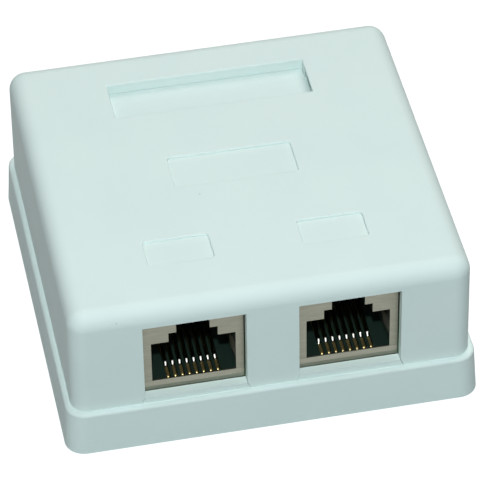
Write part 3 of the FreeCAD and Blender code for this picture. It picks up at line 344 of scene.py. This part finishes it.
below_band = add(
    shield_tree, "ShaderNodeMath", {0: BAND_TOP, 1: piece_axes(shield_tree)["Z"]}, operation="SUBTRACT"
)
leaning = add(shield_tree, "ShaderNodeMath", {0: below_band.outputs[0], 1: 0.0}, operation="MAXIMUM")
creased = add(
    shield_tree, "ShaderNodeMath", {0: leaning.outputs[0], 1: BAND_CREASE}, operation="MINIMUM"
)
band = add(shield_tree, "ShaderNodeBump", {"Height": creased.outputs[0], "Distance": BAND_LEAN})
drive(shield_tree, shield_shader, {"Normal": band.outputs["Normal"]})
print("crease", round(BAND_CREASE / MM, 2), "mm below the band's top")

# %% [markdown]
# Contacts: phosphor bronze strip with hard gold over nickel. Gold plate on
# small springs is smooth and mirrors the light in sharp points. The strip is
# rolled from wire, so its face is crowned. Sixteen strips of finer mesh could
# show that, but a bump is enough: a round hill across each strip, worked out
# from the distance to the strip's middle line.

# %% Gold plated bronze with a crowned face
GOLD_LIGHT = "#F4DCA0"
GOLD_DARK = "#E6C880"
GOLD_LINE = 0.4 * MM
CONTACT_PITCH = 1.02 * MM
HALF_PITCH = CONTACT_PITCH / 2
CROWN_RADIUS = 0.26 * MM

contact_gold, gold_tree, gold_shader, gold_colour = plated_metal(
    "gold_plated_bronze", GOLD_LIGHT, GOLD_DARK, GOLD_LINE
)
socket_middle = (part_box("contact_right_1")[0][0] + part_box("contact_right_8")[1][0]) / 2
gold_axes = piece_axes(gold_tree)
from_middle = add(gold_tree, "ShaderNodeMath", {0: gold_axes["X"]}, operation="ABSOLUTE")
across = add(
    gold_tree, "ShaderNodeMath", {0: from_middle.outputs[0], 1: socket_middle}, operation="SUBTRACT"
)
to_gap = add(gold_tree, "ShaderNodeMath", {0: across.outputs[0], 1: HALF_PITCH}, operation="PINGPONG")
from_line = add(gold_tree, "ShaderNodeMath", {0: HALF_PITCH, 1: to_gap.outputs[0]}, operation="SUBTRACT")
squared = add(gold_tree, "ShaderNodeMath", {0: from_line.outputs[0], 1: 2.0}, operation="POWER")
under_root = add(
    gold_tree, "ShaderNodeMath", {0: CROWN_RADIUS ** 2, 1: squared.outputs[0]}, operation="SUBTRACT"
)
crown = add(gold_tree, "ShaderNodeMath", {0: under_root.outputs[0], 1: 0.5}, operation="POWER")
crowned = add(gold_tree, "ShaderNodeBump", {"Height": crown.outputs[0], "Distance": 1.0})
drive(gold_tree, gold_shader, {"Normal": crowned.outputs["Normal"]})
print("crowned strips, one each", round(CONTACT_PITCH / MM, 2), "mm")

# %% [markdown]
# Plugs rub the contacts only at the knee, where the strip kicks up. The gold is
# burnished to a mirror there, and its colour there is painted near white: a
# painted highlight that makes the glint read white. The nose in front of it
# keeps the soft finish of the plating and glows dimly. Behind it the strip is as
# smooth as it was rolled, and mirrors the dark of the cavity. All three follow
# from the distance to the knee, so one material holds them.

# %% Burnished knees with a painted highlight
KNEE_BEHIND_FACE = 3.25 * MM
KNEE_HALF = 0.3 * MM
KNEE_EDGE = 1.8 * KNEE_HALF
NOSE_ROUGHNESS = 0.42
REAR_ROUGHNESS = 0.1
BURNISHED_ROUGHNESS = 0.02
# Near white colour painted on each knee as a highlight.
PAINTED_GLINT_COLOUR = "#F3F1EA"

knee_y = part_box("jack_shield_left")[0][1] + KNEE_BEHIND_FACE
to_knee = add(gold_tree, "ShaderNodeMath", {0: gold_axes["Y"], 1: knee_y}, operation="SUBTRACT")
knee_distance = add(gold_tree, "ShaderNodeMath", {0: to_knee.outputs[0]}, operation="ABSOLUTE")
# This mask sets both the burnished roughness and the painted highlight colour.
burnish_and_glint = add(
    gold_tree,
    "ShaderNodeMapRange",
    {"Value": knee_distance.outputs[0], "From Min": KNEE_EDGE, "From Max": KNEE_HALF},
)
plated = add(
    gold_tree,
    "ShaderNodeMapRange",
    {
        "Value": to_knee.outputs[0],
        "From Min": -KNEE_HALF,
        "From Max": KNEE_HALF,
        "To Min": NOSE_ROUGHNESS,
        "To Max": REAR_ROUGHNESS,
    },
)
polish = add(
    gold_tree,
    "ShaderNodeMapRange",
    {"Value": burnish_and_glint.outputs["Result"], "To Min": plated.outputs["Result"], "To Max": BURNISHED_ROUGHNESS},
)
# Painted highlight: the gold is mixed to near white at the knee.
painted_glint = add(
    gold_tree,
    "ShaderNodeMix",
    {0: burnish_and_glint.outputs["Result"], 6: gold_colour, 7: linear(PAINTED_GLINT_COLOUR)},
    data_type="RGBA",
)
drive(gold_tree, gold_shader, {"Roughness": polish.outputs["Result"], "Base Color": painted_glint.outputs[2]})
print("knees at y", round(knee_y / MM, 2), "mm")

# %% [markdown]
# Two more plated metals are seen when the cover is off. The terminal clips are
# bronze with bright tin, and the cover screw is steel with zinc, which is a
# little bluer and smoother. Both are made as the shields' metal is.

# %% Tin plated bronze and zinc plated steel
clip_tin, *_ = plated_metal("tin_plated_bronze", "#C8C6BE", "#B4B1A6", 0.5 * MM, roughness=(0.25, 0.38))
screw_steel, *_ = plated_metal("zinc_plated_steel", "#C4C8CC", "#A8ADB3", 0.6 * MM, roughness=(0.22, 0.36))
print("made", clip_tin.name, screw_steel.name)

# %% [markdown]
# Socket housings and contact carriers: glass filled thermoplastic polyester,
# black and slightly glossy, with a faint flow pattern. The terminal blocks
# are white polycarbonate. They differ in colour, gloss and IOR alone, so one
# function makes all three.

# %% Black polyester and white polycarbonate
POLYESTER_IOR = 1.57
POLYCARBONATE_IOR = 1.585
FLOW_PATTERN = 2 * MM
FLOW_SPREAD = 0.05
MOULD_GRAIN = 0.2 * MM
MOULD_DEPTH = 0.003 * MM


def moulded_plain(name, light, dark, roughness, ior):
    """Plastic whose flow pattern shows in its colour and gloss."""
    material, tree, shader = new_material(name, IOR=ior)
    pattern = noise(tree, FLOW_PATTERN)
    colour = add(tree, "ShaderNodeMix", {0: pattern, 6: linear(light), 7: linear(dark)}, data_type="RGBA")
    gloss = add(
        tree,
        "ShaderNodeMapRange",
        {"Value": pattern, "To Min": roughness - FLOW_SPREAD, "To Max": roughness + FLOW_SPREAD},
    )
    grain = add(tree, "ShaderNodeBump", {"Height": noise(tree, MOULD_GRAIN), "Distance": MOULD_DEPTH})
    drive(tree, shader, {
        "Base Color": colour.outputs[2],
        "Roughness": gloss.outputs["Result"],
        "Normal": grain.outputs["Normal"],
    })
    return material


housing_black = moulded_plain("polyester_black_housing", "#1E2F28", "#18261F", 0.36, POLYESTER_IOR)
carrier_black = moulded_plain("polyester_black_carrier", "#212F2A", "#1A2521", 0.42, POLYESTER_IOR)
terminal_white = moulded_plain("polycarbonate_white", "#E9E7DE", "#E2E0D6", 0.32, POLYCARBONATE_IOR)
print("made", housing_black.name, carrier_black.name, terminal_white.name)

# %% [markdown]
# The circuit board is glass cloth and epoxy under a green solder mask. The
# mask is glossy and lies in low waves, and the cloth's weave shows through as
# a faint grid of one thread each 0.45 mm.

# %% Circuit board laminate
CLOTH_THREAD = 0.45 * MM
MASK_WAVE = 1.2 * MM
MASK_DEPTH = 0.01 * MM
MASK_LIGHT = "#2F7049"
MASK_DARK = "#2A6B45"

board_laminate, board_tree, board_shader = new_material("epoxy_glass_board", IOR=1.55, Roughness=0.28)
board_coords = add(board_tree, "ShaderNodeTexCoord")
weave = add(
    board_tree,
    "ShaderNodeTexChecker",
    {
        "Vector": board_coords.outputs["Object"],
        "Scale": 1 / CLOTH_THREAD,
        "Color1": linear(MASK_DARK),
        "Color2": linear(MASK_LIGHT),
    },
)
waves = add(board_tree, "ShaderNodeBump", {"Height": noise(board_tree, MASK_WAVE), "Distance": MASK_DEPTH})
drive(board_tree, board_shader, {"Normal": waves.outputs["Normal"]})
print("made", board_laminate.name)

# %% [markdown]
# Behind each socket the copper tracks to the terminal block show as lighter
# stripes under the mask, one for each contact. Copper foil is a few hundredths
# of a millimetre thick, so the stripes are colour only. A point is on a track
# when it lies near a contact's line, beside a socket's middle, and in the gap
# behind the socket.

# %% Copper tracks under the mask
CONTACTS_EACH_SIDE = 4
TRACK_HALF = 0.16 * MM
TRACK_OVERLAP = 1 * MM
TRACK_COLOUR = "#4E9A66"

socket_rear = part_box("jack_shield_right")[1][1]
block_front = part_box("terminal_block_right")[0][1]
track_middle = (socket_rear + block_front) / 2
track_reach = (block_front - socket_rear) / 2 + TRACK_OVERLAP


def within(tree, value, middle, reach):
    """1 where a value lies nearer to the middle than the reach, 0 elsewhere."""
    gap = add(tree, "ShaderNodeMath", {0: value, 1: middle}, operation="SUBTRACT")
    size = add(tree, "ShaderNodeMath", {0: gap.outputs[0]}, operation="ABSOLUTE")
    return add(tree, "ShaderNodeMath", {0: size.outputs[0], 1: reach}, operation="LESS_THAN").outputs[0]


board_axes = piece_axes(board_tree)
sideways = add(board_tree, "ShaderNodeMath", {0: board_axes["X"]}, operation="ABSOLUTE").outputs[0]
shifted = add(board_tree, "ShaderNodeMath", {0: sideways, 1: HALF_PITCH}, operation="ADD")
to_line = add(board_tree, "ShaderNodeMath", {0: shifted.outputs[0], 1: HALF_PITCH}, operation="PINGPONG")
on_line = add(board_tree, "ShaderNodeMath", {0: to_line.outputs[0], 1: TRACK_HALF}, operation="LESS_THAN")
in_gap = within(board_tree, board_axes["Y"], track_middle, track_reach)
at_socket = within(board_tree, sideways, socket_middle, CONTACTS_EACH_SIDE * CONTACT_PITCH)
in_band = add(board_tree, "ShaderNodeMath", {0: in_gap, 1: at_socket}, operation="MULTIPLY")
track = add(
    board_tree, "ShaderNodeMath", {0: on_line.outputs[0], 1: in_band.outputs[0]}, operation="MULTIPLY"
)
copper = add(
    board_tree,
    "ShaderNodeMix",
    {0: track.outputs[0], 6: weave.outputs["Color"], 7: linear(TRACK_COLOUR)},
    data_type="RGBA",
)
drive(board_tree, board_shader, {"Base Color": copper.outputs[2]})
print("tracks of", round(2 * TRACK_HALF / MM, 2), "mm in a gap of", round(2 * track_reach / MM, 1), "mm")

# %% [markdown]
# Hand each finish to its pieces. The engineering model names the pieces, so
# the start of a name is enough to choose the material.

# %% Give every piece its finish
FINISHES = {
    "base": base_abs,
    "cover_screw": screw_steel,
    "cover": cover_abs,
    "label_plate": label_abs,
    "jack_shield": shield_steel,
    "jack_housing": housing_black,
    "contact_carrier": carrier_black,
    "contact": contact_gold,
    "terminal_block": terminal_white,
    "terminal_clip": clip_tin,
    "circuit_board": board_laminate,
}


def finish_for(name):
    """The material whose key is the longest start of the piece's name."""
    keys = [key for key in FINISHES if name.startswith(key)]
    return FINISHES[max(keys, key=len)]


for name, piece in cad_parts.items():
    piece.data.materials.clear()
    piece.data.materials.append(finish_for(name))
print("finished", len(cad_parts), "pieces")

# %% [markdown]
# The shields' folds. Thin sheet is folded nearly sharp, so the face of a real
# shield almost fills its window. The engineering model rounds the two front
# folds widely. A new shield could be modelled, but a copy keeps its legs and
# spring fingers true and only needs the tighter fold: every point on the round
# is drawn towards the corner that the two flat faces would meet in.

# %% Shields with tight front folds
WIDE_FOLD = 0.45 * MM
TIGHT_FOLD = 0.14 * MM
TOLERANCE = 0.01 * MM


def tighten_folds(mesh, low, high):
    """Draw the points of both front folds to their corners, and count them."""
    middle_x = (low.x + high.x) / 2
    half_width = (high.x - low.x) / 2
    drawn = 0
    for vertex in mesh.vertices:
        inwards = half_width - abs(vertex.co.x - middle_x)
        behind = vertex.co.y - low.y
        off_round = math.hypot(WIDE_FOLD - inwards, WIDE_FOLD - behind) - WIDE_FOLD
        if max(inwards, behind) < WIDE_FOLD + TOLERANCE and abs(off_round) < TOLERANCE:
            outwards = 1 if vertex.co.x > middle_x else -1
            vertex.co.x = middle_x + outwards * (half_width - inwards * TIGHT_FOLD / WIDE_FOLD)
            vertex.co.y = low.y + behind * TIGHT_FOLD / WIDE_FOLD
            drawn += 1
    return drawn


for side in ("left", "right"):
    node = f"jack_shield_{side}"
    folded = put(f"shield_folded_{side}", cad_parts[node].data.copy())
    drawn = tighten_folds(folded.data, *(Vector(corner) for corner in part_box(node)))
    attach(folded, "box_base")
    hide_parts(node)
    print(folded.name, "points drawn to the corner:", drawn)

# %% [markdown]
# The cover screw. The engineering model gives it a plain shank, as wide as the
# crest of the thread. The real screw is a thread-forming screw for plastic: a
# slim core with a coarse thread wound round it. The head and the cross in it
# are right already, so the core is a copy of the screw with its shank drawn in.

# %% Screw core
SCREW_RADIUS = 1.5 * MM
CORE_RADIUS = 1.15 * MM

screw_low, screw_high = (Vector(corner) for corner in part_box("cover_screw"))
screw_axis = (screw_low + screw_high) / 2


def from_axis(point):
    """Distance of a point from the screw's axis."""
    return math.hypot(point.x - screw_axis.x, point.y - screw_axis.y)


core_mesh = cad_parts["cover_screw"].data.copy()
on_shank = [point for point in core_mesh.vertices if abs(from_axis(point.co) - SCREW_RADIUS) < TOLERANCE]
seat_z = max(vertex.co.z for vertex in on_shank)
for vertex in on_shank:
    draw_in = CORE_RADIUS / from_axis(vertex.co)
    vertex.co.x = screw_axis.x + (vertex.co.x - screw_axis.x) * draw_in
    vertex.co.y = screw_axis.y + (vertex.co.y - screw_axis.y) * draw_in
core_mesh.materials.clear()
core_mesh.materials.append(screw_steel)
screw_core = put("cover_screw_core", core_mesh)
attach(screw_core, "box_cover")
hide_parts("cover_screw")
print("drew in", len(on_shank), "points; head sits at z", round(seat_z / MM, 2), "mm")

# %% [markdown]
# The thread is a ridge that follows a spiral, so Geometry Nodes makes it. A
# spiral curve is swept with a circle of three corners, which is turned so that
# one corner points away from the axis and becomes the crest. The tree takes its
# sizes as named inputs, so another screw could use it too.

# %% Tree of the screw thread
PROFILE_CORNERS = 3

thread_tree = bpy.data.node_groups.new("thread", "GeometryNodeTree")
thread_tree.interface.new_socket("Geometry", in_out="OUTPUT", socket_type="NodeSocketGeometry")
thread_inputs = {
    name: thread_tree.interface.new_socket(name, in_out="INPUT", socket_type=kind).identifier
    for name, kind in (
        ("Core Radius", "NodeSocketFloat"),
        ("Crest Radius", "NodeSocketFloat"),
        ("Pitch", "NodeSocketFloat"),
        ("Height", "NodeSocketFloat"),
        ("Steps Per Turn", "NodeSocketInt"),
        ("Foot", "NodeSocketVector"),
    )
}
sizes = add(thread_tree, "NodeGroupInput").outputs
turns = add(thread_tree, "ShaderNodeMath", {0: sizes["Height"], 1: sizes["Pitch"]}, operation="DIVIDE")
ridge = add(
    thread_tree, "ShaderNodeMath", {0: sizes["Crest Radius"], 1: sizes["Core Radius"]}, operation="SUBTRACT"
)
spiral = add(
    thread_tree,
    "GeometryNodeCurveSpiral",
    {
        "Resolution": sizes["Steps Per Turn"],
        "Rotations": turns.outputs[0],
        "Start Radius": sizes["Core Radius"],
        "End Radius": sizes["Core Radius"],
        "Height": sizes["Height"],
    },
)
level = add(thread_tree, "GeometryNodeSetCurveNormal", {"Curve": spiral.outputs[0]}, mode="Z_UP")
profile = add(
    thread_tree,
    "GeometryNodeCurvePrimitiveCircle",
    {"Resolution": PROFILE_CORNERS, "Radius": ridge.outputs[0]},
)
turned = add(
    thread_tree, "GeometryNodeTransform", {"Geometry": profile.outputs[0], "Rotation": (0, 0, math.pi)}
)
swept = add(
    thread_tree,
    "GeometryNodeCurveToMesh",
    {"Curve": level.outputs[0], "Profile Curve": turned.outputs[0], "Fill Caps": True},
)
placed = add(
    thread_tree, "GeometryNodeTransform", {"Geometry": swept.outputs[0], "Translation": sizes["Foot"]}
)
whole = add(thread_tree, "GeometryNodeRealizeInstances", {"Geometry": placed.outputs[0]})
painted = add(
    thread_tree, "GeometryNodeSetMaterial", {"Geometry": whole.outputs[0], "Material": screw_steel}
)
add(thread_tree, "NodeGroupOutput", {0: painted.outputs[0]})
print("thread tree with", len(thread_inputs), "inputs")

# %% [markdown]
# The thread runs from just above the screw's tip to below its head. A helper
# object carries the tree until its result is a plain mesh, and then goes. The
# name of an input may change, so each size is set by the input's identifier.

# %% Screw thread
THREAD_PITCH = 1.1 * MM
TIP_LENGTH = 0.8 * MM
THREAD_TOP_GAP = 1.2 * MM
STEPS_PER_TURN = 40

thread_foot = screw_low.z + TIP_LENGTH
thread_sizes = {
    "Core Radius": CORE_RADIUS,
    "Crest Radius": SCREW_RADIUS,
    "Pitch": THREAD_PITCH,
    "Height": seat_z - THREAD_TOP_GAP - thread_foot,
    "Steps Per Turn": STEPS_PER_TURN,
    "Foot": (screw_axis.x, screw_axis.y, thread_foot),
}
maker = put("thread_maker", bpy.data.meshes.new("empty"))
winding = maker.modifiers.new("thread", "NODES")
winding.node_group = thread_tree
for name, value in thread_sizes.items():
    winding[thread_inputs[name]] = value
bpy.context.view_layer.update()
thread_mesh = bpy.data.meshes.new_from_object(maker.evaluated_get(bpy.context.evaluated_depsgraph_get()))
maker.modifiers.remove(winding)
bpy.data.objects.remove(maker)
screw_thread = put("cover_screw_thread", thread_mesh)
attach(screw_thread, "box_cover")
crest = max(from_axis(vertex.co) for vertex in thread_mesh.vertices)
print("thread of", len(thread_mesh.polygons), "faces, crest radius", round(crest / MM, 3), "mm")

# %% [markdown]
# The floor is a plain pale sheet. It should read as white paper to the camera
# and to shiny metal, and still take the object's soft shadow. Paper that is lit
# alone would need strong lamps, which would burn out the white box, so part of
# the floor's brightness glows and part of it is lit. The glow is there only for
# rays that see the floor, and lights nothing.

# %% Floor
FLOOR_HALF = 1.5
FLOOR_GLOW = 0.86
FLOOR_LIGHT = "#8C9191"
FLOOR_SHADE = "#8A8F8F"
FLOOR_ROUGHNESS = 0.9
PAPER_FIBRE = 1.5 * MM

floor_mesh = bpy.data.meshes.new("floor")
corners = [(x * FLOOR_HALF, y * FLOOR_HALF, 0.0) for x, y in ((-1, -1), (1, -1), (1, 1), (-1, 1))]
floor_mesh.from_pydata(corners, [], [(0, 1, 2, 3)])
floor = put("floor", floor_mesh)


def seen_directly(tree):
    """1 for rays from the camera, mirrors and glass, 0 for light that only bounces."""
    rays = add(tree, "ShaderNodeLightPath").outputs
    shiny = add(
        tree, "ShaderNodeMath", {0: rays["Is Camera Ray"], 1: rays["Is Glossy Ray"]}, operation="MAXIMUM"
    )
    clear = add(
        tree, "ShaderNodeMath", {0: shiny.outputs[0], 1: rays["Is Transmission Ray"]}, operation="MAXIMUM"
    )
    return clear.outputs[0]


floor_paper, floor_tree, floor_shader = new_material(
    "white_backdrop_paper", Roughness=FLOOR_ROUGHNESS, Specular_IOR_Level=0.0, Emission_Color=(1, 1, 1, 1)
)
fibres = add(
    floor_tree,
    "ShaderNodeMix",
    {0: noise(floor_tree, PAPER_FIBRE), 6: linear(FLOOR_LIGHT), 7: linear(FLOOR_SHADE)},
    data_type="RGBA",
)
glow = add(floor_tree, "ShaderNodeMath", {0: seen_directly(floor_tree), 1: FLOOR_GLOW}, operation="MULTIPLY")
drive(floor_tree, floor_shader, {"Base Color": fibres.outputs[2], "Emission Strength": glow.outputs[0]})
floor_mesh.materials.append(floor_paper)
print("floor", 2 * FLOOR_HALF, "m wide")

# %% [markdown]
# Light. A large soft lamp above and behind lights the roof. A small lamp stands
# in front, just above the camera, as a flash does. It lights the faces with the
# windows and the sills, reaches the contacts through the windows and makes them
# glint in points. Two weak lamps fill the front and the left side, and the even
# light of the room does the rest.

# %% Lamps
def softbox(name, place, size, power, colour=(1, 1, 1)):
    """Square area lamp that looks at the box."""
    lamp = bpy.data.lights.new(name, "AREA")
    lamp.size = size
    lamp.energy = power
    lamp.color = colour
    towards = (AIM - Vector(place)).to_track_quat("-Z", "Y").to_matrix().to_4x4()
    put(name, lamp).matrix_world = Matrix.Translation(place) @ towards


softbox("overhead", place=(0.30, 0.40, 0.70), size=0.5, power=3.1, colour=(1.0, 0.975, 0.93))
softbox("lens_light", place=(-0.10, -0.48, 0.62), size=0.025, power=3.9, colour=(0.9, 0.98, 1.0))
softbox("front_fill", place=(0.0, -0.80, 0.45), size=0.5, power=1.1, colour=(0.86, 0.95, 1.0))
softbox("left_fill", place=(-0.80, -0.10, 0.45), size=0.5, power=0.75)
print("lamps", [lamp.name for lamp in bpy.data.lights])

# %% [markdown]
# The room. Rays that look straight at it, or by way of a mirror, see plain
# white, which is the white background of the picture. To all other rays the
# same room is nearly dark, so that the lamps and not the background light the
# box and its colours stay as they were written.

# %% White background and dim room
ROOM_LIGHT = 0.05
BACKGROUND_LIGHT = 1.0

world = bpy.data.worlds.new("room")
world.use_nodes = True
bpy.context.scene.world = world
room_tree = world.node_tree
background = next(node for node in room_tree.nodes if node.type == "BACKGROUND")
brightness = add(
    room_tree,
    "ShaderNodeMapRange",
    {"Value": seen_directly(room_tree), "To Min": ROOM_LIGHT, "To Max": BACKGROUND_LIGHT},
)
room_tree.links.new(brightness.outputs["Result"], background.inputs["Strength"])
background.inputs["Color"].default_value = (1, 1, 1, 1)
bpy.context.scene.view_settings.view_transform = "Standard"
print("room light", ROOM_LIGHT, "and background", BACKGROUND_LIGHT)
